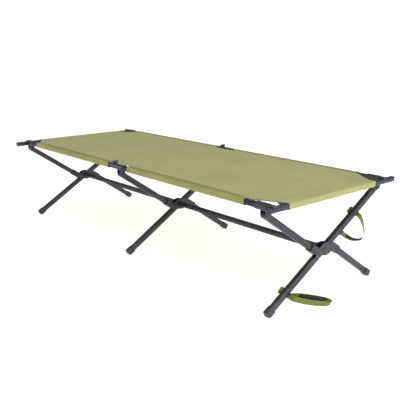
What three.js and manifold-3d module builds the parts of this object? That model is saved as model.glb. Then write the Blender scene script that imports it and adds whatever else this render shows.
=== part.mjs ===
// Folding camp bed stretcher: fabric bed on two hinged side rails, three scissor leg frames
// joined by stretcher bars, and two end bars.
// Millimetres, +Z up, feet on z = 0. +X runs along the bed, -Y is one long side, +Y the other.
import * as THREE from "three";
import { mergeVertices } from "three/addons/utils/BufferGeometryUtils.js";
import Module from "manifold-3d";

const wasm = await Module();
wasm.setup();

// ---------------------------------------------------------------- driving dimensions
const CENTRE_SHIFT = 36.375; // the frame's own middle stands this far from the origin, which is the middle of the outline with the straps
const END_X = 937.5; // end bar axis
const RAIL_Y = 335; // side rail axis
const TUBE = 22; // rail and end bar section
const LEG_W = 22; // leg tube width along X
const LEG_H = 25; // leg tube depth
const WALL = 1.6;
const RAIL_TOP = 434;
const RAIL_Z = RAIL_TOP - TUBE / 2;
const END_Z = 418; // end bar axis, hung under the tabs
const GAP = 0.3;
const FRAME_X = { left: -905, mid: 10, right: 905 }; // scissor leg frames
const CROSS_Z = 194.6; // scissor pivot height
const PIVOT_Z = 392; // leg tops
const OFFSET = 28; // the cranked leg's tubes run this far beside the scissor pivot
const FOLD_X = -35; // middle hinge pin
const FOLD_Z = 444;
const LONG_OVER = 68; // end bar past the rail axis, long end
const SHORT_OVER = 18;
const RAIL_END = 915;
const MID_CUT = [-80, 74]; // side sleeves leave the middle bare between these
const CORNER_CUT = 810; // side sleeves end here
const END_SLEEVE_Y = 262;
const CLOTH = 1.2;

const thetaB = Math.atan2(RAIL_Y, PIVOT_Z - CROSS_Z); // straight leg, from vertical
const reach = Math.hypot(RAIL_Y, PIVOT_Z - CROSS_Z);
const thetaA = thetaB - Math.asin(OFFSET / reach); // cranked leg's tubes
const topA = Math.sqrt(reach * reach - OFFSET * OFFSET);

// ---------------------------------------------------------------- materials
const mat = (color, roughness, metalness) =>
  new THREE.MeshStandardMaterial({ color, roughness, metalness });
const blackAlu = mat(0x25262b, 0.42, 0.75);
const castBlack = mat(0x2c2d31, 0.55, 0.4);
const steel = mat(0x6d7078, 0.35, 0.9);
const plastic = mat(0x17181a, 0.6, 0);
const canvas = mat(0xa6a572, 0.9, 0);
const canvasDark = mat(0x908c56, 0.9, 0);
const webbing = mat(0x6d7a3e, 0.9, 0);

// ---------------------------------------------------------------- solids
function solid(geometry) {
  const g = geometry.clone();
  g.deleteAttribute("normal");
  g.deleteAttribute("uv");
  const m = mergeVertices(g, 1e-4);
  return new wasm.Manifold(
    new wasm.Mesh({
      numProp: 3,
      vertProperties: new Float32Array(m.attributes.position.array),
      triVerts: new Uint32Array(m.index.array),
    }),
  );
}
function geometryOf(manifold) {
  const mesh = manifold.getMesh();
  const g = new THREE.BufferGeometry();
  g.setAttribute(
    "position",
    new THREE.BufferAttribute(new Float32Array(mesh.vertProperties), 3),
  );
  g.setIndex(new THREE.BufferAttribute(new Uint32Array(mesh.triVerts), 1));
  const flat = g.toNonIndexed();
  flat.computeVertexNormals();
  return flat;
}
const union = (...list) => list.reduce((a, b) => a.add(b));
const cut = (a, ...list) => list.reduce((s, b) => s.subtract(b), a);

// Closed outline of a tube with round corners and shallow lengthwise grooves on the chosen sides.
function profile(w, h, r, grooves = { x: [], y: [] }, n = 2) {
  const depth = 0.9,
    half = 1.6;
  const pts = [];
  const corner = (cx, cy, a0) => {
    for (let i = 0; i <= n; i++) {
      const a = a0 + (Math.PI / 2) * (i / n);
      pts.push([cx + r * Math.cos(a), cy + r * Math.sin(a)]);
    }
  };
  const side = (f, list) => {
    for (const c of list)
      for (const [t, d] of [
        [c - half, 0],
        [c - half * 0.5, depth],
        [c + half * 0.5, depth],
        [c + half, 0],
      ])
        pts.push(f(t, d));
  };
  const W = w / 2,
    H = h / 2;
  corner(W - r, -H + r, -Math.PI / 2);
  side((t, d) => [W - d, t], grooves.x);
  corner(W - r, H - r, 0);
  side((t, d) => [-t, H - d], grooves.y);
  corner(-W + r, H - r, Math.PI / 2);
  side((t, d) => [-W + d, -t], grooves.x);
  corner(-W + r, -H + r, Math.PI);
  side((t, d) => [t, -H + d], grooves.y);
  return pts;
}
function shape(pts, holes = []) {
  const s = new THREE.Shape(pts.map(([x, y]) => new THREE.Vector2(x, y)));
  for (const h of holes)
    s.holes.push(new THREE.Path(h.map(([x, y]) => new THREE.Vector2(x, y))));
  return s;
}
// Extrude an outline along local Z from a to b, then place it with a matrix.
function prism(pts, a, b, matrix, holes = [], bevel = 0) {
  const opt = bevel
    ? {
        depth: b - a - 2 * bevel,
        bevelEnabled: true,
        bevelThickness: bevel,
        bevelSize: bevel,
        bevelOffset: -bevel,
        bevelSegments: 1,
        curveSegments: 4,
      }
    : { depth: b - a, bevelEnabled: false };
  const g = new THREE.ExtrudeGeometry(shape(pts, holes), opt);
  g.translate(0, 0, bevel ? a + bevel : a);
  if (matrix) g.applyMatrix4(matrix);
  return solid(g);
}
const V = (x, y, z) => new THREE.Vector3(x, y, z);
const basis = (x, y, z, o = V(0, 0, 0)) =>
  new THREE.Matrix4().makeBasis(x, y, z).setPosition(o);
const alongX = (x, y, z) => basis(V(0, 1, 0), V(0, 0, 1), V(1, 0, 0), V(x, y, z));
const alongY = (x, y, z) => basis(V(0, 0, 1), V(1, 0, 0), V(0, 1, 0), V(x, y, z));
const inXZ = (x, y, z) => basis(V(0, 0, 1), V(1, 0, 0), V(0, 1, 0), V(x, y, z));
function box(x0, x1, y0, y1, z0, z1) {
  const g = new THREE.BoxGeometry(x1 - x0, y1 - y0, z1 - z0);
  g.translate((x0 + x1) / 2, (y0 + y1) / 2, (z0 + z1) / 2);
  return solid(g);
}
function cylinder(axis, r, a, b, c, d, n = 12) {
  n = Math.min(n, 14);
  const g = new THREE.CylinderGeometry(r, r, b - a, n);
  g.translate(0, (a + b) / 2, 0);
  if (axis === "x") g.rotateZ(-Math.PI / 2).translate(0, c, d);
  if (axis === "y") g.translate(c, 0, d);
  if (axis === "z") g.rotateX(Math.PI / 2).translate(c, d, 0);
  return solid(g);
}

const group = new THREE.Group();
group.name = "folding_camp_bed";
function add(name, manifold, material) {
  const mesh = new THREE.Mesh(geometryOf(manifold), material);
  mesh.name = name;
  group.add(mesh);
}

// Leg frame: local X is the row's X, local Y points across the leg, local Z runs up the leg.
// side = -1 for the cranked leg (its top on the -Y rail), +1 for the straight leg (top on the +Y rail).
function legFrame(x, theta, side) {
  const up = V(0, side * Math.sin(theta), Math.cos(theta));
  const across = V(0, up.z, -up.y);
  return basis(V(1, 0, 0), across, up, V(x, 0, CROSS_Z));
}
const legProfile = profile(LEG_W, LEG_H, 5, { x: [0], y: [] });
const none = { x: [], y: [] };
const legBore = profile(LEG_W - 2 * WALL - 1.2, LEG_H - 2 * WALL - 1.2, 3, none, 1);
const railProfile = profile(TUBE, TUBE, 6, { x: [0], y: [] });
const railBore = profile(TUBE - 2 * WALL - 1.2, TUBE - 2 * WALL - 1.2, 3.5, none, 1);

// A leg tube from u0 to u1 at local y = v, and, where top is given, a round-ended lug with the pin hole.
function legTube(frame, v, u0, u1, top) {
  const at = frame.clone().multiply(new THREE.Matrix4().makeTranslation(0, v, 0));
  const end = top === undefined ? u1 : top - 13;
  let s = prism(legProfile, u0, end, at);
  s = s.subtract(prism(legBore, u0 - 2, top === undefined ? u1 + 2 : end - 4, at));
  if (top !== undefined) {
    const R = LEG_H / 2 - 0.2,
      pts = [];
    pts.push([-R, top - 16], [R, top - 16]);
    for (let i = 0; i <= 8; i++) {
      const a = (Math.PI * i) / 8;
      pts.push([R * Math.cos(a), top + R * Math.sin(a)]);
    }
    const acrossUp = at
      .clone()
      .multiply(basis(V(0, 1, 0), V(0, 0, 1), V(1, 0, 0)));
    s = s.add(prism(pts, -(LEG_W - 1.6) / 2, (LEG_W - 1.6) / 2, acrossUp));
    const hole = new THREE.CylinderGeometry(3.4, 3.4, LEG_W + 10, 12);
    hole.rotateZ(-Math.PI / 2).translate(0, 0, top);
    s = s.subtract(solid(hole.applyMatrix4(at)));
  }
  return s;
}
// Foot cap: a rounded shell over the tube's end, trimmed flat on the ground.
function foot(frame, v, uEnd) {
  const at = frame.clone().multiply(new THREE.Matrix4().makeTranslation(0, v, 0));
  let s = prism(profile(LEG_W + 5, LEG_H + 5, 6), uEnd - 9, uEnd + 26, at, [], 2);
  s = s.subtract(
    prism(profile(LEG_W + 0.6, LEG_H + 0.6, 5), uEnd - GAP, uEnd + 40, at),
  );
  return s.subtract(box(-2000, 2000, -700, 700, -60, 0));
}

const frames = {};
for (const [key, x] of Object.entries(FRAME_X)) {
  const A = legFrame(x, thetaA, -1);
  const B = legFrame(x, thetaB, 1);
  frames[key] = { A, B, x };
  const endOf = (theta, v) =>
    -(CROSS_Z - 12.5 + v * Math.sin(theta)) / Math.cos(theta);
  // cranked leg: upper tube on the near side of the pivot, lower tube on the far side
  add(
    `leg_a_${key}_upper_tube`,
    legTube(A, -OFFSET, 39, 0, topA),
    blackAlu,
  );
  const footA = endOf(thetaA, OFFSET);
  add(`leg_a_${key}_lower_tube`, legTube(A, OFFSET, footA, -39), blackAlu);
  add(`leg_a_${key}_foot`, foot(A, OFFSET, footA), plastic);
  // straight leg, with the rivet hole at the crossing
  const footB = -(CROSS_Z - 12.5) / Math.cos(thetaB);
  let b = legTube(B, 0, footB, 0, reach);
  b = b.subtract(cylinder("x", 5.4, x - 30, x + 30, 0, CROSS_Z));
  add(`leg_b_${key}_tube`, b, blackAlu);
  add(`leg_b_${key}_foot`, foot(B, 0, footB), plastic);

  // yoke casting: two sockets for the cranked leg's tubes, two plates that straddle the straight leg
  const S0 = 36,
    S1 = 84,
    hv = LEG_H / 2 + 2.6,
    xi = LEG_W / 2 + 0.4,
    xo = LEG_W / 2 + 3;
  const flat = A.clone().multiply(basis(V(0, 1, 0), V(0, 0, 1), V(1, 0, 0)));
  const outline = [
    [-OFFSET - hv, S0],
    [-20, -17],
    [-7, -31],
    [OFFSET - hv + 1, -40],
    [OFFSET - hv, -S1 + 12],
    [OFFSET + hv, -S1 + 12],
    [OFFSET + hv, -S0],
    [20, 17],
    [7, 31],
    [-OFFSET + hv - 1, 40],
    [-OFFSET + hv, S1 - 12],
    [-OFFSET - hv, S1 - 12],
  ];
  let yoke = union(
    prism(outline, xi, xo, flat),
    prism(outline, -xo, -xi, flat),
  );
  for (const s of [-1, 1]) {
    const at = A.clone().multiply(
      new THREE.Matrix4().makeTranslation(0, s * OFFSET, 0),
    );
    const [a, c] = s < 0 ? [S0, S1] : [-S1, -S0];
    yoke = yoke.add(prism(profile(2 * xo, 2 * hv, 4), a, c, at));
    // raised bands at the socket's mouth
    const [m0, m1] = s < 0 ? [S1 - 9, S1] : [-S1, -S1 + 9];
    yoke = yoke.add(prism(profile(2 * xo + 1.6, 2 * hv + 1.6, 4), m0, m1, at));
  }
  for (const s of [-1, 1]) {
    const at = A.clone().multiply(
      new THREE.Matrix4().makeTranslation(0, s * OFFSET, 0),
    );
    const [a, c] = s < 0 ? [S0 - 20, S1 + 5] : [-S1 - 5, -S0 + 20];
    yoke = yoke.subtract(prism(profile(LEG_W + 0.6, LEG_H + 0.6, 5), a, c, at));
  }
  // ring bosses that hold the stretcher bars' ends, on the faces that a bar meets
  const sides = key === "left" ? [1] : key === "right" ? [-1] : [-1, 1];
  for (const s of sides) {
    const a = x + s * (xo - 0.5),
      c = x + s * (xo + 24);
    const lo = Math.min(a, c),
      hi = Math.max(a, c);
    yoke = yoke.add(
      cylinder("x", 15.2, lo, hi, 0, CROSS_Z, 24),
    );
    const mouth = s > 0 ? [x + xo + 2, hi + 1] : [lo - 1, x - xo - 2];
    yoke = yoke.subtract(cylinder("x", 12.6, mouth[0], mouth[1], 0, CROSS_Z, 24));
  }
  yoke = yoke.subtract(
    cylinder("x", 5.4, x - 60, x + 60, 0, CROSS_Z, 20),
  );
  add(`yoke_${key}`, yoke, castBlack);

  // pivot rivet through yoke and straight leg
  const high = xo + (sides.includes(1) ? 2 : 0),
    low = xo + (sides.includes(-1) ? 2 : 0);
  add(
    `pivot_rivet_${key}`,
    union(
      cylinder("x", 5, x - low - 1, x + high + 1, 0, CROSS_Z, 12),
      cylinder("x", 8, x - low - 2.6, x - low - 0.3, 0, CROSS_Z, 14),
      cylinder("x", 8, x + high + 0.3, x + high + 2.6, 0, CROSS_Z, 14),
    ),
    steel,
  );
}

// ---------------------------------------------------------------- side rails and their fittings
for (const [side, ys] of [
  ["near", -1],
  ["far", 1],
]) {
  const y = ys * RAIL_Y;
  for (const [half, xs] of [
    ["left", -1],
    ["right", 1],
  ]) {
    // rail half
    const inner = FOLD_X + xs * 0.4;
    const [a, b] = xs > 0 ? [inner, RAIL_END] : [-RAIL_END, inner];
    add(
      `rail_${side}_${half}_tube`,
      cut(
        prism(railProfile, a, b, alongX(0, y, RAIL_Z)),
        prism(railBore, a - 2, b + 2, alongX(0, y, RAIL_Z)),
      ),
      blackAlu,
    );
    // end fitting: plug in the rail, collar, tab over the end bar, stud and rivet head
    const X = (u, v) => (xs > 0 ? [u, v] : [-v, -u]);
    const bx = (u, v, y0, y1, z0, z1) => {
      const [p, q] = X(u, v);
      return box(p, q, y + y0, y + y1, z0, z1);
    };
    const [c0, c1] = X(RAIL_END + GAP, RAIL_END + 9.2);
    const [p0, p1] = X(RAIL_END - 34, RAIL_END + 5);
    add(
      `rail_${side}_${half}_end_fitting`,
      union(
        prism(profile(TUBE, TUBE, 6), c0, c1, alongX(0, y, RAIL_Z)),
        prism(
          profile(TUBE - 2 * WALL - 1.8, TUBE - 2 * WALL - 1.8, 4, none, 1),
          p0,
          p1,
          alongX(0, y, RAIL_Z),
        ),
        bx(RAIL_END + 4.6, 948, -10.5, 10.5, END_Z + TUBE / 2 + GAP, RAIL_TOP - 0.2),
        cylinder("z", 4, END_Z + 7.6, RAIL_TOP - 1, xs * END_X, y, 16),
        cylinder("z", 4.4, RAIL_TOP - 1, RAIL_TOP + 1.2, xs * END_X, y, 16),
      ),
      castBlack,
    );
    // corner bracket: a ring round the rail with two ears and a riveted pin for the leg top
    const lx = FRAME_X[half];
    const e0 = LEG_W / 2 + 0.4,
      e1 = LEG_W / 2 + 2.9;
    const ears = (x0) => {
      let s = null;
      for (const k of [-1, 1]) {
        const [q0, q1] = k > 0 ? [x0 + e0, x0 + e1] : [x0 - e1, x0 - e0];
        const pts = [];
        for (let i = 0; i <= 6; i++) {
          const t = Math.PI + (Math.PI * i) / 6;
          pts.push([12.2 * Math.cos(t), PIVOT_Z + 12.2 * Math.sin(t)]);
        }
        pts.push([13.2, RAIL_Z - TUBE / 2 - 1.4], [-13.2, RAIL_Z - TUBE / 2 - 1.4]);
        const ear = prism(pts, q0, q1, alongX(0, y, 0));
        s = s ? s.add(ear) : ear;
      }
      return union(
        s,
        cylinder("x", 3, x0 - e1 - 1, x0 + e1 + 1, y, PIVOT_Z, 14),
        cylinder("x", 5.4, x0 - e1 - 1.6, x0 - e1 + 0.2, y, PIVOT_Z, 16),
        cylinder("x", 5.4, x0 + e1 - 0.2, x0 + e1 + 1.6, y, PIVOT_Z, 16),
      );
    };
    const [r0, r1] = X(862, 919.2);
    add(
      `rail_${side}_${half}_corner_bracket`,
      union(
        cut(
          prism(profile(TUBE + 5.2, TUBE + 5.2, 7), r0, r1, alongX(0, y, RAIL_Z)),
          prism(profile(TUBE + 0.6, TUBE + 0.6, 6), r0 - 2, r1 + 2, alongX(0, y, RAIL_Z)),
        ),
        ears(lx),
      ),
      castBlack,
    );
    if (half === "right") {
      // middle bracket under the rail, open at the top so that the hinge leaf passes over it
      const m0 = FRAME_X.mid - e1 - 4,
        m1 = FRAME_X.mid + e1 + 4;
      add(
        `rail_${side}_middle_bracket`,
        union(
          cut(
            prism(profile(TUBE + 5.2, TUBE + 5.2, 7), m0, m1, alongX(0, y, RAIL_Z)),
            prism(profile(TUBE + 0.6, TUBE + 0.6, 6), m0 - 2, m1 + 2, alongX(0, y, RAIL_Z)),
            box(m0 - 3, m1 + 3, y - 30, y + 30, RAIL_Z - 1, RAIL_TOP + 20),
          ),
          ears(FRAME_X.mid),
        ),
        castBlack,
      );
    }
    // middle hinge leaf: channel saddle over the rail with knuckles round the pin
    const L = xs > 0 ? 76 : 41;
    const [h0, h1] =
      xs > 0 ? [FOLD_X + 0.7, FOLD_X + L] : [FOLD_X - L, FOLD_X - 0.7];
    let leaf = cut(
      prism(profile(TUBE + 5.2, TUBE + 5.2, 7), h0, h1, alongX(0, y, RAIL_Z)),
      prism(profile(TUBE + 0.6, TUBE + 0.6, 6), h0 - 2, h1 + 2, alongX(0, y, RAIL_Z)),
      box(h0 - 3, h1 + 3, y - 30, y + 30, RAIL_Z - 40, RAIL_Z + 0.5),
    );
    const knuckle = (y0, y1) => {
      const pts = [];
      // web and barrel in the XZ plane, as [z, x] pairs
      const R = 5.4;
      for (let i = 0; i <= 8; i++) {
        const t = -Math.PI / 2 + (Math.PI * i) / 8;
        pts.push([FOLD_Z + R * Math.cos(t), FOLD_X - xs * R * Math.sin(t)]);
      }
      pts.push([FOLD_Z - 1, FOLD_X - xs * R]);
      pts.push([RAIL_TOP + 3.4, FOLD_X + xs * 1.2]);
      pts.push([RAIL_TOP + 1, FOLD_X + xs * 1.2]);
      pts.push([RAIL_TOP + 1, FOLD_X + xs * 15]);
      pts.push([RAIL_TOP + 4, FOLD_X + xs * 13]);
      const ordered = xs > 0 ? pts : pts.slice().reverse();
      return prism(
        signedArea(ordered) > 0 ? ordered : ordered.slice().reverse(),
        y0,
        y1,
        inXZ(0, 0, 0),
      );
    };
    leaf =
      xs > 0
        ? leaf.add(knuckle(y - 4.6, y + 4.6))
        : union(leaf, knuckle(y - 11.5, y - 5.1), knuckle(y + 5.1, y + 11.5));
    leaf = leaf.subtract(
      cylinder("y", 3.1, y - 20, y + 20, FOLD_X, FOLD_Z, 16),
    );
    add(`hinge_${side}_${half}_leaf`, leaf, castBlack);
  }
  add(
    `hinge_${side}_pin`,
    union(
      cylinder("y", 2.7, y - 12.6, y + 12.6, FOLD_X, FOLD_Z, 16),
      cylinder("y", 4.8, y - 14.4, y - 11.8, FOLD_X, FOLD_Z, 16),
      cylinder("y", 4.8, y + 11.8, y + 14.4, FOLD_X, FOLD_Z, 16),
    ),
    steel,
  );
}
function signedArea(p) {
  let s = 0;
  for (let i = 0; i < p.length; i++) {
    const [a, b] = p[i],
      [c, d] = p[(i + 1) % p.length];
    s += a * d - c * b;
  }
  return s / 2;
}

// ---------------------------------------------------------------- stretcher bars between the yokes
{
  const xo = LEG_W / 2 + 3;
  const bar = (name, x0, x1) => {
    // round plug ends in the yokes' bosses, ribbed tube between the bosses
    const a = x0 + xo + 24.6,
      b = x1 - xo - 24.6;
    add(
      name,
      union(
        prism(
          profile(23, 24, 7, { x: [0], y: [] }),
          a,
          b,
          alongX(0, 0, CROSS_Z),
        ),
        cylinder("x", 11.8, x0 + xo + 5.6, a + 2, 0, CROSS_Z, 24),
        cylinder("x", 11.8, b - 2, x1 - xo - 5.6, 0, CROSS_Z, 24),
      ),
      blackAlu,
    );
  };
  bar("stretcher_bar_left", FRAME_X.left, FRAME_X.mid);
  bar("stretcher_bar_right", FRAME_X.mid, FRAME_X.right);
}

// ---------------------------------------------------------------- end bars with caps
for (const [half, xs] of [
  ["left", -1],
  ["right", 1],
]) {
  const y0 = xs > 0 ? -RAIL_Y - SHORT_OVER : -RAIL_Y - LONG_OVER;
  const y1 = xs > 0 ? RAIL_Y + LONG_OVER : RAIL_Y + SHORT_OVER;
  const X = xs * END_X;
  add(
    `end_bar_${half}_tube`,
    cut(
      prism(railProfile, y0 + 3.3, y1 - 3.3, alongY(X, 0, END_Z)),
      prism(railBore, y0, y1, alongY(X, 0, END_Z)),
      cylinder("z", 4.7, END_Z + 5, END_Z + 20, X, -RAIL_Y, 16),
      cylinder("z", 4.7, END_Z + 5, END_Z + 20, X, RAIL_Y, 16),
    ),
    blackAlu,
  );
  for (const [side, a, s] of [
    ["near", y0, 1],
    ["far", y1, -1],
  ]) {
    const f = [a, a + s * 3].sort((p, q) => p - q);
    const g = [a + s * 1, a + s * 11].sort((p, q) => p - q);
    add(
      `end_bar_${half}_cap_${side}`,
      union(
        prism(profile(TUBE, TUBE, 6), f[0], f[1], alongY(X, 0, END_Z)),
        prism(
          profile(TUBE - 2 * WALL - 1.8, TUBE - 2 * WALL - 1.8, 4, none, 1),
          g[0],
          g[1],
          alongY(X, 0, END_Z),
        ),
      ),
      plastic,
    );
  }
}

// ---------------------------------------------------------------- fabric: side sleeves and two bed panels
const inner = TUBE + 0.6,
  outer = TUBE + 0.6 + 2 * CLOTH;
for (const [side, ys] of [
  ["near", -1],
  ["far", 1],
])
  for (const [half, a, b] of [
    ["left", -CORNER_CUT, MID_CUT[0]],
    ["right", MID_CUT[1], CORNER_CUT],
  ])
    add(
      `side_sleeve_${side}_${half}`,
      prism(profile(outer, outer, 6.5), a, b, alongX(0, ys * RAIL_Y, RAIL_Z), [
        profile(inner, inner, 6).slice().reverse(),
      ]),
      canvasDark,
    );
{
  const yi = RAIL_Y - outer / 2 - GAP; // panel edge inside the side sleeves
  const top = END_Z + outer / 2;
  const dish = (f, xm) => [xm, yi - 13 * f];
  for (const [half, xs] of [
    ["left", -1],
    ["right", 1],
  ]) {
    const cutX = xs > 0 ? MID_CUT[1] : -MID_CUT[0];
    const m = FOLD_X + xs * 0.5;
    const half1 = [
      [m, yi - 14],
      [xs * (cutX - 22), yi - 13],
      [xs * (cutX - 6), yi - 5],
      [xs * (cutX + 2), yi],
      [xs * CORNER_CUT, yi],
      [xs * (END_X - outer / 2 + 0.6), END_SLEEVE_Y],
    ];
    const other = half1
      .slice()
      .reverse()
      .map(([x, y]) => [x, -y]);
    let pts = half1.concat(other);
    if (signedArea(pts) < 0) pts = pts.reverse();
    const sleeve = prism(
      profile(outer, outer, 6.5),
      -END_SLEEVE_Y,
      END_SLEEVE_Y,
      alongY(xs * END_X, 0, END_Z),
      [profile(inner, inner, 6).slice().reverse()],
    );
    // the panel meets the top of the end sleeve
    const reachX = xs * (END_X - 5);
    const lap = box(
      Math.min(xs * (END_X - outer / 2), reachX),
      Math.max(xs * (END_X - outer / 2), reachX),
      -END_SLEEVE_Y,
      END_SLEEVE_Y,
      top - CLOTH + 0.1,
      top + 0.3,
    );
    add(
      `bed_panel_${half}`,
      union(prism(pts, top - CLOTH, top + 0.3, new THREE.Matrix4()), sleeve, lap),
      canvas,
    );
  }
}

// ---------------------------------------------------------------- hook-and-loop straps on the right straight leg
// A flat band swept through space: the centre line follows points, the width follows widths.
function band(points, widths, thickness, width, steps = 3) {
  const curve = new THREE.CatmullRomCurve3(
    points.map((p) => V(...p)),
    false,
    "centripetal",
  );
  const n = (points.length - 1) * steps;
  const pos = [];
  for (let i = 0; i <= n; i++) {
    const f = (i / n) * (points.length - 1);
    const k = Math.min(Math.floor(f), points.length - 2);
    const p = curve.getPoint(i / n);
    const t = curve.getTangent(i / n);
    const w = V(...widths[k]).lerp(V(...widths[k + 1]), f - k);
    w.addScaledVector(t, -w.dot(t)).normalize();
    const m = V(0, 0, 0).crossVectors(t, w).normalize();
    for (const [a, b] of [
      [1, 1],
      [-1, 1],
      [-1, -1],
      [1, -1],
    ])
      pos.push(
        p
          .clone()
          .addScaledVector(w, (a * width) / 2)
          .addScaledVector(m, (b * thickness) / 2),
      );
  }
  const tri = [];
  for (let i = 0; i < n; i++)
    for (let k = 0; k < 4; k++) {
      const a = i * 4 + k,
        b = i * 4 + ((k + 1) % 4);
      tri.push([a, b, b + 4], [a, b + 4, a + 4]);
    }
  tri.push([0, 2, 1], [0, 3, 2]);
  const e = n * 4;
  tri.push([e, e + 1, e + 2], [e, e + 2, e + 3]);
  let volume = 0;
  for (const [a, b, c] of tri)
    volume += pos[a].dot(V(0, 0, 0).crossVectors(pos[b], pos[c]));
  const g = new THREE.BufferGeometry();
  const flat = [];
  for (const [a, b, c] of tri)
    for (const q of volume < 0 ? [a, c, b] : [a, b, c])
      flat.push(pos[q].x, pos[q].y, pos[q].z);
  g.setAttribute("position", new THREE.Float32BufferAttribute(flat, 3));
  return solid(g);
}
{
  const { B } = frames.right;
  // doubled tape against the leg's lower face, from x0 to x1 beside the leg's middle, at u along the leg
  const pad = (u, x0, x1, deep = 3.4) =>
    prism(
      [
        [(x0 - x1) / 2, -deep / 2],
        [(x1 - x0) / 2, -deep / 2],
        [(x1 - x0) / 2, deep / 2],
        [(x0 - x1) / 2, deep / 2],
      ],
      u - 12.8,
      u + 12.8,
      B.clone().multiply(
        new THREE.Matrix4().makeTranslation((x0 + x1) / 2, LEG_H / 2 + 0.5 + deep / 2, 0),
      ),
    );
  const up = [0, Math.sin(thetaB), Math.cos(thetaB)];
  // upper strap: hangs from its first pad in a loop and comes back to a second pad lower on the leg
  add(
    "strap_upper",
    union(
      pad(225, -29, 13),
      pad(110, -11, 13),
      band(
        [
          [913, 201.4, 296.2],
          [924, 203, 291],
          [937, 201.5, 275],
          [950, 197, 252],
          [960, 189, 224],
          [954, 177, 205],
          [940, 150, 206],
          [929, 124, 219],
          [921, 108, 231],
          [913, 102.2, 237.8],
        ],
        [up, [-0.1, 0.9, 0.42], [-0.25, 0.9, 0.3], [-0.4, 0.9, 0.1], [-0.45, 0.88, 0], [-0.45, 0.88, 0], [-0.45, 0.88, 0.1], [-0.25, 0.9, 0.3], [-0.1, 0.9, 0.42], up],
        2,
        23,
      ),
    ),
    webbing,
  );
  // lower strap: a flat loop that stands off the leg towards the bed's end
  const v = [0.2, 0.15, 0.97];
  add(
    "strap_lower",
    band(
      [
        [874, -204.4, 57.0],
        [893, -204.4, 57.0],
        [912, -204.4, 57.0],
        [924, -205.2, 55],
        [944, -197, 49],
        [974, -157, 36],
        [1003, -103, 24],
        [1011.5, -85, 28],
        [1000, -101, 38],
        [970, -147, 52],
        [942, -184, 59],
        [924, -198.8, 54.5],
        [912, -202.5, 53.7],
        [893, -202.5, 53.7],
      ],
      [up, up, up, [0.05, 0.6, 0.8], v, v, v, v, v, v, v, [0.05, 0.6, 0.8], up, up],
      2,
      23,
    ),
    webbing,
  );
}

group.position.x = -CENTRE_SHIFT;
group.updateMatrixWorld(true);
export default group;
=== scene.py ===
import math

import bmesh
import bpy
import numpy as np
from mathutils import Matrix, Vector, noise


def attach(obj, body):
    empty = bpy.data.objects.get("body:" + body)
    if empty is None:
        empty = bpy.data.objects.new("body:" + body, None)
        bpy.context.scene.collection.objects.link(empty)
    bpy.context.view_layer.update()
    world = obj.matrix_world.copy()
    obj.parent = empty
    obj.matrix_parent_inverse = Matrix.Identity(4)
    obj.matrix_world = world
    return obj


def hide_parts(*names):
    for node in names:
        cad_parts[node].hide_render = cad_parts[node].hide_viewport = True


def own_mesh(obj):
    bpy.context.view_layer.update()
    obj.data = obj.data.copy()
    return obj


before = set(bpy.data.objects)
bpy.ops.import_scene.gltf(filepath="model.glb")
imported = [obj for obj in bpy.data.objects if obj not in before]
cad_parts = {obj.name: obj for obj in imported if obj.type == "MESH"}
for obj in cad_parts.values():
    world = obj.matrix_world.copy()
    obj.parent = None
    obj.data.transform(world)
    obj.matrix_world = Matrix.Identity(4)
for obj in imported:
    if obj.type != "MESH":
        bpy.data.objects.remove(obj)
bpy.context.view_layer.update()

# ------------------------------------------------------------------ measures, in mm, in the object's own frame
# The row frame's x is SHIFT less than these.
SHIFT = 36.375
END_X, END_Z, RAIL_Y, RAIL_Z = 937.5, 418.0, 335.0, 423.0
FOLD_X = -35.0
MID_CUT = (-80.0, 74.0)
CORNER = 810.0
END_Y = 262.0
CROSS_Z = 194.6
THETA_B = math.atan2(335.0, 392.0 - CROSS_Z)
HEM_W = 19.0  # side hem, from the rail's axis inwards
WIDE = 333.0  # half width of the panel where the side sleeves hold it


def row(p):
    return Vector(((p[0] - SHIFT) / 1000.0, p[1] / 1000.0, p[2] / 1000.0))


def srgb(r, g, b):
    def lin(c):
        c /= 255.0
        return c / 12.92 if c <= 0.04045 else ((c + 0.055) / 1.055) ** 2.4

    return (lin(r), lin(g), lin(b), 1.0)


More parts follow.
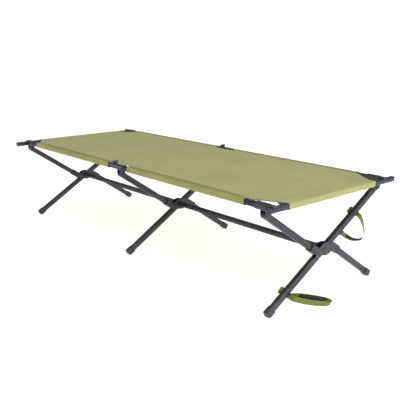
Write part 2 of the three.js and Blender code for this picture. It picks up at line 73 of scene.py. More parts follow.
# ------------------------------------------------------------------ materials
class Mat:
    """Small helper round one node material."""

    def __init__(self, name):
        self.m = bpy.data.materials.new(name)
        self.m.use_nodes = True
        self.t = self.m.node_tree
        self.t.nodes.clear()
        self.out = self.node("ShaderNodeOutputMaterial")
        self.bsdf = self.node("ShaderNodeBsdfPrincipled")
        self.link(self.bsdf.outputs[0], self.out.inputs[0])
        self.pos = self.node("ShaderNodeTexCoord").outputs["Object"]

    def node(self, kind, **k):
        n = self.t.nodes.new(kind)
        for a, b in k.items():
            setattr(n, a, b)
        return n

    def link(self, a, b):
        self.t.links.new(a, b)

    def math(self, op, a, b=None, c=None, clamp=False):
        n = self.node("ShaderNodeMath", operation=op, use_clamp=clamp)
        for i, v in enumerate((a, b, c)):
            if v is None:
                continue
            if isinstance(v, (int, float)):
                n.inputs[i].default_value = v
            else:
                self.link(v, n.inputs[i])
        return n.outputs[0]

    def along(self, direction):
        n = self.node("ShaderNodeVectorMath", operation="DOT_PRODUCT")
        self.link(self.pos, n.inputs[0])
        n.inputs[1].default_value = direction
        return n.outputs["Value"]

    def noise(self, scale, detail=3.0, rough=0.55, vector=None, stretch=None):
        n = self.node("ShaderNodeTexNoise")
        n.inputs["Scale"].default_value = scale
        n.inputs["Detail"].default_value = detail
        n.inputs["Roughness"].default_value = rough
        v = vector or self.pos
        if stretch:
            mp = self.node("ShaderNodeMapping")
            mp.inputs["Scale"].default_value = stretch[0]
            mp.inputs["Rotation"].default_value = stretch[1]
            self.link(v, mp.inputs["Vector"])
            v = mp.outputs[0]
        self.link(v, n.inputs["Vector"])
        return n.outputs["Fac"]

    def ramp(self, fac, stops):
        n = self.node("ShaderNodeValToRGB")
        e = n.color_ramp.elements
        e[0].position, e[0].color = stops[0]
        e[1].position, e[1].color = stops[1]
        for p, c in stops[2:]:
            x = e.new(p)
            x.color = c
        self.link(fac, n.inputs[0])
        return n.outputs[0]

    def mix(self, fac, a, b, mode="MIX"):
        n = self.node("ShaderNodeMix", data_type="RGBA", blend_type=mode)
        for i, v in ((0, fac), (6, a), (7, b)):
            if isinstance(v, (int, float)):
                n.inputs[i].default_value = v
            elif isinstance(v, tuple):
                n.inputs[i].default_value = v
            else:
                self.link(v, n.inputs[i])
        return n.outputs[2]

    def bump(self, height, distance, strength=1.0, normal=None):
        n = self.node("ShaderNodeBump")
        n.inputs["Distance"].default_value = distance
        n.inputs["Strength"].default_value = strength
        self.link(height, n.inputs["Height"])
        if normal is not None:
            self.link(normal, n.inputs["Normal"])
        return n.outputs[0]

    def worn(self, width=0.0012):
        """Narrow mask along convex edges: bevelled normal against the true one."""
        b = self.node("ShaderNodeBevel", samples=4)
        b.inputs["Radius"].default_value = width
        g = self.node("ShaderNodeNewGeometry")
        d = self.node("ShaderNodeVectorMath", operation="DOT_PRODUCT")
        self.link(b.outputs[0], d.inputs[0])
        self.link(g.outputs["Normal"], d.inputs[1])
        e = self.math("SUBTRACT", 1.0, d.outputs["Value"])
        return self.math("MULTIPLY", e, 6.0, clamp=True)


def anodised(name, axis, tint=1.0):
    """Black anodised extrusion: fine ribs along the tube, a soft sheen, faint scuffs and lighter worn edges."""
    a = Vector(axis).normalized()
    u = Vector((1, 0, 0)) if abs(a.x) < 0.5 else Vector((0, 1, 0))
    v = a.cross(u).normalized()
    m = Mat(name)
    ribs = None
    for d in (u, v):
        s = m.math("SINE", m.math("MULTIPLY", m.along(d), 2 * math.pi / 0.0042))
        s = m.math("MULTIPLY", m.math("MAXIMUM", m.math("SUBTRACT", s, 0.35), 0.0), 1.5)
        ribs = s if ribs is None else m.math("ADD", ribs, s)
    # drawing marks: noise stretched along the tube
    lu, lv, la = m.along(u), m.along(v), m.along(a)
    comb = m.node("ShaderNodeCombineXYZ")
    m.link(m.math("MULTIPLY", lu, 900.0), comb.inputs[0])
    m.link(m.math("MULTIPLY", lv, 900.0), comb.inputs[1])
    m.link(m.math("MULTIPLY", la, 6.0), comb.inputs[2])
    streak = m.noise(1.0, 3.0, vector=comb.outputs[0])
    scuff = m.noise(9.0, 5.0, 0.65)
    base = m.ramp(
        scuff,
        [
            (0.30, (0.030 * tint, 0.032 * tint, 0.040 * tint, 1)),
            (0.72, (0.062 * tint, 0.066 * tint, 0.079 * tint, 1)),
        ],
    )
    base = m.mix(m.math("MULTIPLY", m.worn(), 0.55), base, (0.26, 0.27, 0.30, 1))
    m.link(base, m.bsdf.inputs["Base Color"])
    rough = m.math("MULTIPLY_ADD", streak, 0.16, 0.27)
    rough = m.math("ADD", rough, m.math("MULTIPLY", scuff, 0.08))
    m.link(rough, m.bsdf.inputs["Roughness"])
    m.bsdf.inputs["Metallic"].default_value = 0.88
    m.bsdf.inputs["IOR"].default_value = 1.5
    m.bsdf.inputs["Anisotropic"].default_value = 0.3
    n = m.bump(ribs, 0.00022, 0.8)
    n = m.bump(streak, 0.00006, 0.6, n)
    m.link(n, m.bsdf.inputs["Normal"])
    return m.m


def cast(name, lo, hi, rough=0.46, grain=420.0, depth=0.00022, edge=(0.12, 0.125, 0.14, 1), metallic=0.1):
    """Powder-coated casting or moulding: orange-peel grain, tone variation, rubbed edges."""
    m = Mat(name)
    big = m.noise(14.0, 4.0, 0.6)
    fine = m.noise(grain, 2.0, 0.5)
    base = m.ramp(big, [(0.3, (*lo, 1)), (0.7, (*hi, 1))])
    base = m.mix(m.math("MULTIPLY", m.worn(0.0015), 0.6), base, edge)
    m.link(base, m.bsdf.inputs["Base Color"])
    m.link(m.math("MULTIPLY_ADD", big, 0.16, rough - 0.06), m.bsdf.inputs["Roughness"])
    m.bsdf.inputs["Metallic"].default_value = metallic
    m.link(m.bump(fine, depth, 0.7), m.bsdf.inputs["Normal"])
    return m.m


def canvas(name, colour, dark, band=0.0, rough=0.86):
    """Plain-weave canvas. Threads run along x and across it; the yarn varies in tone, and the cloth is a little mottled."""
    m = Mat(name)
    x = m.along((1, 0, 0))
    across = m.along((0, 1, 0.83))
    k = 2 * math.pi / 0.0013
    warp = m.math("SINE", m.math("MULTIPLY", x, k))
    weft = m.math("SINE", m.math("MULTIPLY", across, k))
    cell = m.math("MULTIPLY", warp, weft)  # over-under checker
    ridges = m.math("ADD", m.math("ABSOLUTE", warp), m.math("ABSOLUTE", weft))
    weave = m.math("MULTIPLY_ADD", cell, 0.5, ridges)
    sx = m.node("ShaderNodeCombineXYZ")
    m.link(m.math("MULTIPLY", x, 12.0), sx.inputs[0])
    m.link(m.math("MULTIPLY", across, 700.0), sx.inputs[1])
    slub = m.noise(1.0, 2.0, vector=sx.outputs[0])
    sy = m.node("ShaderNodeCombineXYZ")
    m.link(m.math("MULTIPLY", x, 700.0), sy.inputs[0])
    m.link(m.math("MULTIPLY", across, 12.0), sy.inputs[1])
    slub2 = m.noise(1.0, 2.0, vector=sy.outputs[0])
    mottle = m.noise(5.5, 4.0, 0.6)
    tone = m.math("MULTIPLY_ADD", m.math("ADD", slub, slub2), 0.24, m.math("MULTIPLY", mottle, 0.42))
    tone = m.math("MULTIPLY_ADD", cell, 0.045, tone)
    base = m.ramp(tone, [(0.22, dark), (0.66, colour)])
    # a faint greener cast comes and goes over the cloth
    base = m.mix(
        m.math("MULTIPLY", m.noise(2.1, 2.0), 0.10), base, srgb(150, 160, 96)
    )
    m.link(base, m.bsdf.inputs["Base Color"])
    m.link(m.math("MULTIPLY_ADD", mottle, 0.1, rough - 0.05), m.bsdf.inputs["Roughness"])
    m.bsdf.inputs["Specular IOR Level"].default_value = 0.22
    m.bsdf.inputs["Sheen Weight"].default_value = 0.12
    m.bsdf.inputs["Sheen Roughness"].default_value = 0.5
    n = m.bump(weave, 0.00018, 0.55)
    n = m.bump(m.noise(38.0, 3.0), 0.0006, 0.22, n)
    m.link(n, m.bsdf.inputs["Normal"])
    return m.m


def webbing(name, colour, dark):
    """Ribbed webbing: a herringbone of small ribs across the tape."""
    m = Mat(name)
    a = m.along((0.55, 0.75, 0.35))
    b = m.along((-0.35, 0.4, 0.85))
    k = 2 * math.pi / 0.0021
    zig = m.math("MULTIPLY", m.math("ABSOLUTE", m.math("SINE", m.math("MULTIPLY", b, k / 3))), 2.2)
    rib = m.math("SINE", m.math("ADD", m.math("MULTIPLY", a, k), zig))
    tone = m.math("MULTIPLY_ADD", rib, 0.16, m.math("MULTIPLY_ADD", m.noise(60, 4.0), 0.6, 0.2))
    base = m.ramp(tone, [(0.25, dark), (0.75, colour)])
    m.link(base, m.bsdf.inputs["Base Color"])
    m.bsdf.inputs["Roughness"].default_value = 0.82
    m.bsdf.inputs["Specular IOR Level"].default_value = 0.25
    m.bsdf.inputs["Sheen Weight"].default_value = 0.15
    m.link(m.bump(rib, 0.00035, 0.7), m.bsdf.inputs["Normal"])
    return m.m


def hook_tape(name):
    m = Mat(name)
    v = m.node("ShaderNodeTexVoronoi")
    v.inputs["Scale"].default_value = 900.0
    m.link(m.pos, v.inputs["Vector"])
    d = v.outputs["Distance"]
    m.link(m.ramp(d, [(0.0, (0.035, 0.037, 0.043, 1)), (0.6, (0.010, 0.010, 0.012, 1))]), m.bsdf.inputs["Base Color"])
    m.bsdf.inputs["Roughness"].default_value = 0.7
    m.link(m.bump(d, 0.0006, 0.8), m.bsdf.inputs["Normal"])
    return m.m


LEG_A = (0.0, -math.sin(THETA_B - math.asin(28.0 / 388.83)), math.cos(THETA_B - math.asin(28.0 / 388.83)))
LEG_B = (0.0, math.sin(THETA_B), math.cos(THETA_B))
M = {
    "leg_a": anodised("anodised_leg_a", LEG_A, 1.25),
    "leg_b": anodised("anodised_leg_b", LEG_B, 1.1),
    "rail": anodised("anodised_rail", (1, 0, 0), 1.0),
    "bar": anodised("anodised_stretcher_bar", (1, 0, 0), 1.0),
    "end_bar": anodised("anodised_end_bar", (0, 1, 0), 1.2),
    "cast": cast("coated_casting", (0.040, 0.042, 0.050), (0.070, 0.073, 0.084), 0.42, metallic=0.6),
    "hinge": cast("hinge_plate_coating", (0.060, 0.063, 0.074), (0.10, 0.105, 0.12), 0.34, 500.0, 0.00015, (0.28, 0.29, 0.32, 1), 0.8),
    "plastic": cast("moulded_plastic", (0.015, 0.0157, 0.019), (0.030, 0.0315, 0.037), 0.44, 260.0, 0.00016, (0.055, 0.058, 0.066, 1), 0.0),
    "steel": cast("dark_rivet_steel", (0.055, 0.058, 0.066), (0.10, 0.105, 0.115), 0.30, 700.0, 0.00008, (0.30, 0.31, 0.33, 1), 0.8),
    "canvas": canvas("canvas_panel_weave", srgb(188, 186, 128), srgb(158, 156, 98)),
    "sleeve": canvas("canvas_sleeve_weave", srgb(168, 164, 98), srgb(134, 130, 70)),
    # the hem canvas is darker than the panel's: partly painted shade along the top of the rail, partly the deeper tone
    # of the doubled cloth
    "hem": canvas("canvas_hem_weave", srgb(150, 146, 84), srgb(122, 118, 62)),
    # the binding is the panel's canvas made darker: painted shade along the cut-out edges
    "binding": canvas("canvas_binding_weave", srgb(150, 147, 88), srgb(112, 109, 58)),
    "thread": canvas("seam_thread", srgb(168, 164, 106), srgb(128, 124, 74)),
    "webbing": webbing("olive_webbing", srgb(139, 152, 78), srgb(94, 104, 46)),
    "hook": hook_tape("black_hook_tape"),
}


def material_of(n):
    if n.startswith("leg_") and n.endswith("_foot") or "_cap_" in n:
        return "plastic"
    if n.startswith("leg_a"):
        return "leg_a"
    if n.startswith("leg_b"):
        return "leg_b"
    if n.startswith("pivot_rivet") or n.endswith("_pin"):
        return "steel"
    if n.startswith("yoke") or "bracket" in n or "end_fitting" in n:
        return "cast"
    if n.endswith("_leaf"):
        return "hinge"
    if n.startswith("stretcher_bar"):
        return "bar"
    if n.startswith("end_bar"):
        return "end_bar"
    return "rail"


SOFT = ("bed_panel", "side_sleeve", "strap")
for n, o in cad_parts.items():
    if n.startswith(SOFT):
        continue
    o.data.materials.clear()
    o.data.materials.append(M[material_of(n)])
    for p in o.data.polygons:
        p.material_index = 0
    w = o.modifiers.new("weld", "WELD")
    w.merge_threshold = 0.00002
    b = o.modifiers.new("edges", "BEVEL")
    b.width = 0.0006
    b.segments = 2
    b.limit_method = "ANGLE"
    b.angle_limit = math.radians(38)
    b.harden_normals = False

# ------------------------------------------------------------------ mesh tools
def mesh_obj(name, verts, faces, material, smooth=True):
    me = bpy.data.meshes.new(name)
    me.from_pydata([tuple(v) for v in verts], [], faces)
    me.validate()
    bm = bmesh.new()
    bm.from_mesh(me)
    bmesh.ops.recalc_face_normals(bm, faces=bm.faces)
    bm.to_mesh(me)
    bm.free()
    for p in me.polygons:
        p.use_smooth = smooth
    me.materials.append(M[material])
    o = bpy.data.objects.new(name, me)
    bpy.context.scene.collection.objects.link(o)
    return o


def sheet_mesh(name, rows, thickness, material, closed_u=False):
    """rows: list of lists of mid-surface points, in mm. Gives them thickness along the surface normal."""
    P = np.array(rows, float)
    nu, nv, _ = P.shape
    du = np.gradient(P, axis=0)
    dv = np.gradient(P, axis=1)
    if closed_u:
        du = (np.roll(P, -1, axis=0) - np.roll(P, 1, axis=0)) / 2
    N = np.cross(du, dv)
    N /= np.maximum(np.linalg.norm(N, axis=2, keepdims=True), 1e-9)
    top = (P + N * thickness / 2).reshape(-1, 3)
    bot = (P - N * thickness / 2).reshape(-1, 3)
    verts = [row(p) for p in top] + [row(p) for p in bot]
    off = nu * nv
    f = []
    iu = nu if closed_u else nu - 1
    for i in range(iu):
        i2 = (i + 1) % nu
        for j in range(nv - 1):
            a, b, c, d = i * nv + j, i2 * nv + j, i2 * nv + j + 1, i * nv + j + 1
            f.append((a, b, c, d))
            f.append((off + a, off + d, off + c, off + b))
    for i in range(iu):
        i2 = (i + 1) % nu
        for j in (0, nv - 1):
            a, b = i * nv + j, i2 * nv + j
            f.append((a, b, off + b, off + a))
    if not closed_u:
        for i in (0, nu - 1):
            for j in range(nv - 1):
                a, b = i * nv + j, i * nv + j + 1
                f.append((a, b, off + b, off + a))
    return mesh_obj(name, verts, f, material)


def tube_mesh(name, pts, ry, rz, material, sides=10, up=(0, 0, 1)):
    """A closed flattened tube along pts (mm): half width ry across, half height rz along up."""
    P = np.array(pts, float)
    T = np.gradient(P, axis=0)
    T /= np.linalg.norm(T, axis=1, keepdims=True)
    U = np.array(up, float)
    verts, f = [], []
    n = len(P)
    for i in range(n):
        side = np.cross(T[i], U)
        side /= np.linalg.norm(side)
        u2 = np.cross(side, T[i])
        for k in range(sides):
            a = 2 * math.pi * k / sides
            verts.append(row(P[i] + side * ry * math.cos(a) + u2 * rz * math.sin(a)))
    for i in range(n - 1):
        for k in range(sides):
            k2 = (k + 1) % sides
            f.append((i * sides + k, i * sides + k2, (i + 1) * sides + k2, (i + 1) * sides + k))
    f.append(tuple(range(sides)))
    f.append(tuple((n - 1) * sides + k for k in range(sides)))
    return mesh_obj(name, verts, f, material)


def stitches(name, lines, pitch=4.4, length=3.0, radius=0.42):
    """Rows of single stitches: each is a small spindle lying along the seam, slightly sunk at its ends."""
    verts, f = [], []
    for line, normal in lines:
        P = np.array(line, float)
        seg = np.linalg.norm(np.diff(P, axis=0), axis=1)
        cum = np.concatenate([[0], np.cumsum(seg)])
        N = np.array(normal, float)
        N /= np.linalg.norm(N)
        n = int(cum[-1] / pitch)
        for i in range(n):
            s = (i + 0.5) * pitch
            c = np.array([np.interp(s, cum, P[:, k]) for k in range(3)])
            c2 = np.array([np.interp(s + 0.5, cum, P[:, k]) for k in range(3)])
            t = c2 - c
            t /= max(np.linalg.norm(t), 1e-9)
            side = np.cross(N, t)
            base = len(verts)
            for s2, r, h in ((-0.5, 0.35, -0.25), (-0.22, 1.0, 0.12), (0.22, 1.0, 0.12), (0.5, 0.35, -0.25)):
                for k in range(5):
                    a = 2 * math.pi * k / 5
                    verts.append(
                        row(c + t * s2 * length + N * h + (side * math.cos(a) + N * math.sin(a) * 0.75) * r * radius)
                    )
            for q in range(3):
                for k in range(5):
                    k2 = (k + 1) % 5
                    f.append((base + q * 5 + k, base + q * 5 + k2, base + (q + 1) * 5 + k2, base + (q + 1) * 5 + k))
            f.append(tuple(base + k for k in range(5)))
            f.append(tuple(base + 15 + k for k in range(5)))
    return mesh_obj(name, verts, f, "thread")


# ------------------------------------------------------------------ the bed's surface
def half_width(x):
    """Half width of the panel at x: held by the sleeves, cut away in the middle and at the corners."""
    if x > 0:
        cut = MID_CUT[1]
    else:
        cut = MID_CUT[0]
    ax = abs(x)
    if MID_CUT[0] < x < MID_CUT[1]:
        d = min(x - MID_CUT[0], MID_CUT[1] - x) / 34.0
        d = min(1.0, d)
        d = d * d * (3 - 2 * d)
        return WIDE - 25.0 * d
    if ax <= CORNER:
        return WIDE
    f = min(1.0, (ax - CORNER) / (END_X - 14.0 - CORNER))
    w = WIDE + (END_Y - WIDE) * f
    return w - 5.5 * math.sin(math.pi * f) * (1 - 0.3 * f)


CORNERS = [
    (sx * CORNER, sy * WIDE) for sx in (-1, 1) for sy in (-1, 1)
] + [(sx * (END_X - 16), sy * END_Y) for sx in (-1, 1) for sy in (-1, 1)]
MIDS = [(mx, sy * WIDE) for mx in MID_CUT for sy in (-1, 1)]


def height(x, y):
    """Mid-surface height of the stretched cloth."""
    w = min(half_width(x), WIDE)
    ay = min(1.0, abs(y) / WIDE)
    ex = min(1.0, max(0.0, (abs(x) - 640.0) / (END_X - 14.0 - 640.0)))
    edge = 434.85 * (1 - ex ** 2.2) + 430.0 * ex ** 2.2
    centre = 430.6 * (1 - ex ** 2.2) + 430.0 * ex ** 2.2
    z = centre + (edge - centre) * ay ** 1.8
    # free edges of the cut-outs curl down slightly
    if MID_CUT[0] < x < MID_CUT[1] or abs(x) > CORNER:
        d = w - abs(y)
        z -= 1.6 * math.exp(-d / 9.0)
    # calm at the rails and at the end bars
    hold = min(1.0, max(0.0, (w - abs(y)) / 60.0)) * min(1.0, max(0.0, (END_X - 14 - abs(x)) / 50.0))
    hold = hold * hold * (3 - 2 * hold)
    r = 1.35 * noise.noise(Vector((x / 210.0, y / 120.0, 3.7)))
    r += 0.55 * noise.noise(Vector((x / 70.0 + 9, y / 55.0, 8.1)))
    # tension folds run out of the corners, pulled towards the opposite end
    for cx, cy in CORNERS:
        dx, dy = x - cx, y - cy
        q = math.hypot(dx, dy)
        if q < 420:
            ang = math.atan2(dy, dx)
            r += 1.25 * math.exp(-q / 120.0) * math.sin(ang * 13.0 + cx * 0.01) * min(1.0, q / 25.0)
    for cx, cy in MIDS:
        dx, dy = x - cx, y - cy
        q = math.hypot(dx, dy)
        if q < 300:
            ang = math.atan2(dy, dx)
            r += 1.1 * math.exp(-q / 75.0) * math.sin(ang * 11.0 + cx) * min(1.0, q / 18.0)
    # creases kept from folding: one over the hinges, and one each side
    for fx, amp, wid in ((FOLD_X, -0.8, 9.0), (318.0, 0.55, 7.0), (-402.0, 0.5, 7.0), (640.0, 0.4, 8.0)):
        lean = fx + 9.0 * noise.noise(Vector((fx, y / 160.0, 1.3)))
        r += amp * math.exp(-((x - lean) / wid) ** 2)
    return z + r * hold


def end_profile(xs):
    """Points (x, z) of the cloth's mid-surface round the end bar, from the panel's end over the bar and back to the seam below."""
    a, rr = 11.95, 5.6
    pts = []
    cx, cz = END_X, END_Z

    def arc(px, pz, a0, a1, n=7):
        for i in range(n):
            t = math.radians(a0 + (a1 - a0) * i / (n - 1))
            pts.append((px + rr * math.cos(t), pz + rr * math.sin(t)))

    pts.append((cx - a + 1.5, cz + a - 0.05))
    pts.append((cx - 3, cz + a + 0.05))
    arc(cx + a - rr, cz + a - rr, 90, 0)
    pts.append((cx + a + 0.25, cz))
    arc(cx + a - rr, cz - a + rr, 0, -90)
    pts.append((cx, cz - a - 0.15))
    arc(cx - a + rr, cz - a + rr, -90, -142, 5)
    # tangent up to the seam
    x0, z0 = pts[-1]
    x1, z1 = END_X - 56.0, 428.6
    for i in range(1, 9):
        f = i / 8.0
        pts.append((x0 + (x1 - x0) * f, z0 + (z1 - z0) * f - 1.2 * math.sin(math.pi * f)))
    return [(xs * px, pz) for px, pz in pts]


def panel(side, xs, body):
    m = FOLD_X + xs * 0.3
    stop = xs * (END_X - 14.0)
    ns, nt = 128, 96
    ts = np.linspace(-1, 1, nt)
    # rows are closer together at the edges, where the cloth turns
    ts = np.sign(ts) * (0.55 * np.abs(ts) + 0.45 * np.sin(np.abs(ts) * math.pi / 2))
    xsamp = []
    for i in range(ns):
        xsamp.append(m + (stop - m) * i / (ns - 1))
    rows = []
    for x in xsamp:
        w = half_width(x)
        rows.append([(x, t * w, height(x, t * w)) for t in ts])
    last_w = half_width(stop)
    for px, pz in end_profile(xs):
        rr = []
        for t in ts:
            y = t * min(last_w, END_Y)
            wob = 0.22 * noise.noise(Vector((px / 30.0, y / 26.0, 5.5)))
            rr.append((px, y, pz + wob))
        rows.append(rr)
    o = sheet_mesh(f"bed_panel_cloth_{side}", rows, 1.1, "canvas")
    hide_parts(f"bed_panel_{side}")
    return o


folding = []  # pieces that ride on a near rail half and close up with the legs


def hem_rows(xs, ys, top):
    """Side hem: the doubled layer on top (top=True), or the cloth that comes up from under the rail to the seam."""
    a, b = (MID_CUT[1], CORNER) if xs > 0 else (-CORNER, MID_CUT[0])
    n = 120
    rows = []
    for i in range(n):
        x = a + (b - a) * i / (n - 1)
        line = []
        if top:
            for k in range(9):
                y = (RAIL_Y - HEM_W) + (WIDE + 1.0 - (RAIL_Y - HEM_W)) * k / 8.0
                lift = 1.0 + 0.5 * math.sin(math.pi * k / 8.0) * (1 + 0.6 * noise.noise(Vector((x / 30.0, ys * 3.0, k * 0.3))))
                if k == 0:
                    lift = 0.55
                line.append((x, ys * y, height(x, ys * y) + lift))
        else:
            y0, z0, y1 = RAIL_Y - 13.2, 412.5, RAIL_Y - HEM_W
            z1 = height(x, ys * y1) - 1.1
            for k in range(9):
                f = k / 8.0
                y = y0 + (y1 - y0) * f
                z = z0 + (z1 - z0) * f + 1.5 * math.sin(math.pi * f) * (1 + noise.noise(Vector((x / 45.0, ys * 5.0, 2.0))))
                line.append((x, ys * y, z))
        rows.append(line)
    return rows


def sleeve_rows(xs, ys):
    """The cloth round the rail, as a closed loop, for each x."""
    a, b = (MID_CUT[1], CORNER) if xs > 0 else (-CORNER, MID_CUT[0])
    n = 130
    h, r = 12.0, 5.9
    sect = []
    for c0, c1, a0 in ((1, 1, 90), (1, -1, 0), (-1, -1, -90), (-1, 1, -180)):
        for i in range(7):
            t = math.radians(a0 - 90.0 * i / 6)
            sect.append((c0 * (h - r) + r * math.cos(t), c1 * (h - r) + r * math.sin(t)))
    loops = []
    for i in range(n):
        f = i / (n - 1)
        x = a + (b - a) * f
        d = min(x - a, b - x)
        hem = 0.55 if d < 11 else 0.0  # turned hem at the mouth
        flare = 0.5 * math.exp(-d / 5.0)
        loop = []
        for q, (u, v) in enumerate(sect):
            s = 0.16 * noise.noise(Vector((x / 26.0, u / 9.0 + ys * 4, v / 9.0 + xs)))
            L = math.hypot(u, v)
            g = 1 + (hem + flare + max(0.0, s)) / L
            loop.append((x, ys * (RAIL_Y + u * g), RAIL_Z + v * g))
        loops.append(loop)
    # transpose: first index goes round the loop
    return [[loops[i][q] for i in range(n)] for q in range(len(sect))]


for side, xs in (("left", -1), ("right", 1)):
    near_body = f"rail_near_{side}"
    cloth = panel(side, xs, near_body)
    folding.append((cloth, near_body))
    for yn, ys in (("near", -1), ("far", 1)):
        s = sheet_mesh(f"side_sleeve_cloth_{yn}_{side}", sleeve_rows(xs, ys), 0.95, "sleeve", closed_u=True)
        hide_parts(f"side_sleeve_{yn}_{side}")
        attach(s, f"rail_{yn}_{side}")
        t = sheet_mesh(f"side_hem_{yn}_{side}", hem_rows(xs, ys, True), 0.8, "hem")
        folding.append((t, near_body))
    # bindings along the cut-outs, folded over the raw edge; their darker canvas is painted shade along these edges
    for yn, ys in (("near", -1), ("far", 1)):
        pts = []
        for i in range(40):
            x = xs * (CORNER - 4 + (END_X - 14.0 - CORNER + 3) * i / 39.0)
            w = half_width(x)
            pts.append((x, ys * w, height(x, ys * w) - 0.3))
        o = tube_mesh(f"corner_binding_{yn}_{side}", pts, 4.2, 1.25, "binding")
        folding.append((o, near_body))
        pts = []
        e = MID_CUT[1] + 2 if xs > 0 else MID_CUT[0] - 2
        for i in range(40):
            x = FOLD_X + xs * 0.6 + (e - FOLD_X - xs * 0.6) * i / 39.0
            w = half_width(x)
            pts.append((x, ys * w, height(x, ys * w) - 0.3))
        o = tube_mesh(f"middle_binding_{yn}_{side}", pts, 4.2, 1.25, "binding")
        folding.append((o, near_body))
    # stitching
    lines = []
    a, b = (MID_CUT[1] + 4, CORNER - 4) if xs > 0 else (-CORNER + 4, MID_CUT[0] - 4)
    for ys in (-1, 1):
        for inset, lift in ((HEM_W - 2.2, 1.5), (HEM_W - 5.6, 1.7)):
            y = ys * (RAIL_Y - inset)
            lines.append(([(x, y, height(x, y) + lift) for x in np.linspace(a, b, 120)], (0, 0, 1)))
        lines.append((
            [
                (xs * x, ys * (half_width(xs * x) - 2.6), height(xs * x, ys * (half_width(xs * x) - 2.6)) + 1.2)
                for x in np.linspace(CORNER + 6, END_X - 20, 30)
            ],
            (0, 0, 1),
        ))
    for x0 in (END_X - 52.0, END_X - 46.0):
        w = half_width(xs * x0) - 8
        lines.append(([(xs * x0, y, height(xs * x0, y) + 0.62) for y in np.linspace(-w, w, 80)], (0, 0, 1)))
    st = stitches(f"panel_stitching_{side}", lines)
    folding.append((st, near_body))

for o, body in folding:
    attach(o, body)
    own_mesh(o)


# ------------------------------------------------------------------ straps on the right straight leg
def spline(points, n):
    """Catmull-Rom through points, evenly in each span."""
    P = np.array(points, float)
    P = np.vstack([2 * P[0] - P[1], P, 2 * P[-1] - P[-2]])
    out = []
    spans = len(points) - 1
    for i in range(n):
        f = i / (n - 1) * spans
        k = min(int(f), spans - 1)
        t = f - k
        a, b, c, d = P[k], P[k + 1], P[k + 2], P[k + 3]
        out.append(0.5 * (2 * b + (c - a) * t + (2 * a - 5 * b + 4 * c - d) * t * t + (3 * b - a - 3 * c + d) * t ** 3))
    return np.array(out)


def ribbon(name, points, widths, width, thickness, material, n=90, closed=False, slack=0.0):
    """A woven tape with rounded selvedges along a spline; its width turns with widths."""
    C = spline(points, n)
    W = spline(widths, n)
    T = np.gradient(C, axis=0)
    T /= np.linalg.norm(T, axis=1, keepdims=True)
    W = W - (W * T).sum(1, keepdims=True) * T
    W /= np.linalg.norm(W, axis=1, keepdims=True)
    N = np.cross(T, W)
    h, e = width / 2, thickness / 2
    sect = [(-h, 0), (-h + 0.5, 0.8 * e), (-h + 2.2, e), (-h / 2, e * 0.86), (0, e * 0.8), (h / 2, e * 0.86), (h - 2.2, e), (h - 0.5, 0.8 * e), (h, 0)]
    sect = sect + [(a, -b) for a, b in reversed(sect[1:-1])]
    ns = len(sect)
    verts, f = [], []
    for i in range(n):
        wob = slack * noise.noise(Vector((i / 9.0, 0.3, 7.7)))
        for a, b in sect:
            verts.append(row(C[i] + W[i] * a + N[i] * (b + wob * a / h)))
    m = n if closed else n - 1
    for i in range(m):
        i2 = (i + 1) % n
        for k in range(ns):
            k2 = (k + 1) % ns
            f.append((i * ns + k, i * ns + k2, i2 * ns + k2, i2 * ns + k))
    if not closed:
        f.append(tuple(range(ns)))
        f.append(tuple((n - 1) * ns + k for k in range(ns)))
    return mesh_obj(name, verts, f, material), C, W, N


UP = np.array([0.0, math.sin(THETA_B), math.cos(THETA_B)])
ACROSS = np.array([0.0, UP[2], -UP[1]])


def pad(name, u, x0, x1):
    """Tape doubled back on itself against the leg's lower face: it runs from x1 to the fold at x0 and back, at u along the leg."""
    c = np.array([905.0, 0.0, CROSS_Z]) + UP * u
    r = 1.15
    if x0 > -20:
        pts = [(x1, 13.75), (1, 13.75), (x0 + 4, 13.75), (x0, 15.3), (x0 + 4, 17.0), (1, 16.9), (x1, 16.9)]
    else:  # the tape's end comes forward round the leg's inner side in a slack loop
        pts = [(x1, 13.75), (1, 13.75), (-11, 13.9), (x0 + 8, 12.6), (x0 + 1.5, 7.5), (x0, 0), (x0 + 3, -6.5), (x0 + 9, -9.5), (-14.5, -8.5), (-12.7, -4), (-12.6, 2), (-12.6, 8)]
    P = [c + np.array([1.0, 0, 0]) * x + ACROSS * v for x, v in pts]
    o, *_ = ribbon(name, P, [UP] * len(P), 23.0, 1.9, "webbing", n=90)
    # box of stitches where the layers are sewn together
    h = 8.0
    lines = []
    for v, n in ((14.85 if x0 < -20 else 18.0, ACROSS), (12.75, -ACROSS)):
        loop = [(x1 - 3, -h), (-9, -h), (-9, h), (x1 - 3, h), (x1 - 3, -h), (-9, h)]
        lines.append(([c + np.array([1.0, 0, 0]) * x + ACROSS * v + UP * w for x, w in loop], n))
    st = stitches(name + "_stitching", lines[:1], pitch=3.2, length=2.2, radius=0.35)
    return [o, st]


strap_pieces = []
upper = [
    (908, 201.4, 296.2), (915, 201.5, 296.0), (924, 203, 291), (937, 201.5, 275), (950, 197, 252), (960, 189, 224),
    (954, 177, 205), (940, 150, 206), (929, 124, 219), (921, 108, 231), (914, 102.8, 237.4), (908, 102.2, 237.8),
]
up_w = [UP, UP, [-0.1, 0.9, 0.42], [-0.25, 0.9, 0.3], [-0.4, 0.9, 0.1], [-0.45, 0.88, 0], [-0.45, 0.88, 0], [-0.45, 0.88, 0.1],
        [-0.25, 0.9, 0.3], [-0.1, 0.9, 0.42], UP, UP]
o, C, W, N = ribbon("strap_upper_tape", upper, up_w, 22.5, 1.9, "webbing", n=120, slack=0.5)
strap_pieces.append(o)
i0, i1 = 62, 93
for tag, sg in (("", -1), ("_back", 1)):
    p, *_ = ribbon(
        "strap_upper_hook_patch" + tag, [C[i] + N[i] * 1.35 * sg for i in range(i0, i1, 3)], [W[i] for i in range(i0, i1, 3)], 19.5, 1.2, "hook", n=40
    )
    strap_pieces.append(p)
strap_pieces += pad("strap_upper_pad_top", 225, -29, 12)
strap_pieces += pad("strap_upper_pad_low", 110, -11, 12)

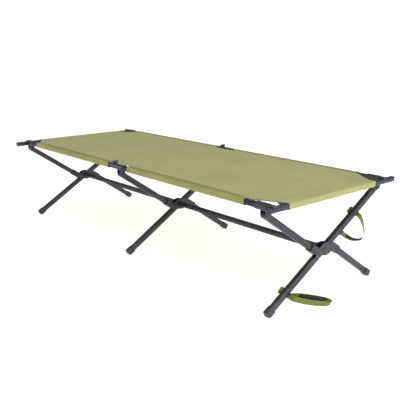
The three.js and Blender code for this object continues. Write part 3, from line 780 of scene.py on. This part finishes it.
v = np.array([0.2, 0.15, 0.97])
lower = [
    (906, -203.2, 54.9), (914, -202.8, 54.4), (924, -199.4, 55), (942, -184, 59), (970, -147, 52), (1000, -101, 38), (1011.5, -85, 28),
    (1003, -103, 24), (974, -157, 36), (944, -197, 49), (924, -205, 55), (915, -204.6, 56.9), (908, -204.4, 57.0),
]
w1 = np.array([0.05, 0.6, 0.8])
lo_w = [UP, UP, w1, v, v, v, v, v, v, v, w1, UP, UP]
o, C, W, N = ribbon("strap_lower_tape", lower, lo_w, 23.0, 1.9, "webbing", n=130, slack=0.6)
strap_pieces.append(o)
# the hook patch lies on the loop's far run, and is seen over the near run
i0, i1 = 33, 58
for tag, sg in (("", 1), ("_back", -1)):
    p, *_ = ribbon(
        "strap_lower_hook_patch" + tag, [C[i] + N[i] * 1.35 * sg for i in range(i0, i1, 3)], [W[i] for i in range(i0, i1, 3)], 20.0, 1.2, "hook", n=40
    )
    strap_pieces.append(p)
strap_pieces += pad("strap_lower_pad", -246, -31, 12)
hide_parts("strap_upper")
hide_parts("strap_lower")
for o in strap_pieces:
    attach(o, "legs_b_right")

# ------------------------------------------------------------------ stage, light and camera
scene = bpy.context.scene
fm = Mat("pale_floor")
fm.bsdf.inputs["Base Color"].default_value = (0.93, 0.93, 0.93, 1)
fm.bsdf.inputs["Roughness"].default_value = 0.9
fm.bsdf.inputs["Specular IOR Level"].default_value = 0.1
fm.bsdf.inputs["Emission Color"].default_value = (1, 1, 1, 1)
fm.bsdf.inputs["Emission Strength"].default_value = 0.62
M["floor"] = fm.m
R = 30.0
floor_v = [(-R, -R, -0.0004), (R, -R, -0.0004), (R, R, -0.0004), (-R, R, -0.0004)]
me = bpy.data.meshes.new("floor")
me.from_pydata(floor_v, [], [(0, 1, 2, 3)])
me.materials.append(M["floor"])
floor = bpy.data.objects.new("floor", me)
scene.collection.objects.link(floor)

# a white studio backdrop, far off, that only the camera sees
bm = bmesh.new()
bmesh.ops.create_uvsphere(bm, u_segments=48, v_segments=24, radius=26.0)
me = bpy.data.meshes.new("backdrop")
bm.to_mesh(me)
bm.free()
dm = bpy.data.materials.new("white_backdrop")
dm.use_nodes = True
dm.node_tree.nodes.clear()
e = dm.node_tree.nodes.new("ShaderNodeEmission")
e.inputs["Color"].default_value = (1, 1, 1, 1)
e.inputs["Strength"].default_value = 1.3
out = dm.node_tree.nodes.new("ShaderNodeOutputMaterial")
dm.node_tree.links.new(e.outputs[0], out.inputs[0])
me.materials.append(dm)
dome = bpy.data.objects.new("backdrop", me)
scene.collection.objects.link(dome)
dome.visible_diffuse = dome.visible_glossy = dome.visible_transmission = dome.visible_shadow = False

world = bpy.data.worlds.new("studio")
scene.world = world
world.use_nodes = True
bg = world.node_tree.nodes["Background"]
bg.inputs[0].default_value = (0.97, 0.985, 1.0, 1)
bg.inputs[1].default_value = 0.45


def area(name, loc, target, size, power, colour=(1, 1, 1)):
    li = bpy.data.lights.new(name, "AREA")
    li.shape = "RECTANGLE"
    li.size, li.size_y = size
    li.energy = power
    li.color = colour
    o = bpy.data.objects.new(name, li)
    scene.collection.objects.link(o)
    o.location = loc
    o.rotation_mode = "QUATERNION"
    o.rotation_quaternion = (Vector(target) - Vector(loc)).to_track_quat("-Z", "Y")
    return o


area("key", (1.2, -1.2, 4.2), (0, 0, 0.3), (3.0, 3.0), 80)
area("end_light", (4.6, 1.2, 1.1), (0.6, 0, 0.3), (2.0, 1.4), 66, (0.96, 0.98, 1.0))
area("near_light", (-0.4, -4.6, 1.2), (0, 0, 0.3), (4.0, 1.2), 10)

cam_data = bpy.data.cameras.new("camera")
cam = bpy.data.objects.new("camera", cam_data)
scene.collection.objects.link(cam)
scene.camera = cam
CAM = (2.23871 - SHIFT / 1000.0, -1.77855, 0.96336)
YAW, PITCH, ROLL = -0.847018, 0.271639, -0.001389
cam.location = CAM
look = Vector((math.cos(PITCH) * math.sin(YAW), math.cos(PITCH) * math.cos(YAW), -math.sin(PITCH)))
quat = look.to_track_quat("-Z", "Y")
cam.rotation_mode = "QUATERNION"
cam.rotation_quaternion = quat
cam_data.sensor_width = 36.0
cam_data.lens = 590.01 / 416.0 * 36.0
cam_data.clip_start, cam_data.clip_end = 0.05, 100.0
scene.view_settings.view_transform = "Standard"
scene.view_settings.look = "None"


for side in ("left", "right"):
    o = bpy.data.objects[f"bed_panel_cloth_{side}"]
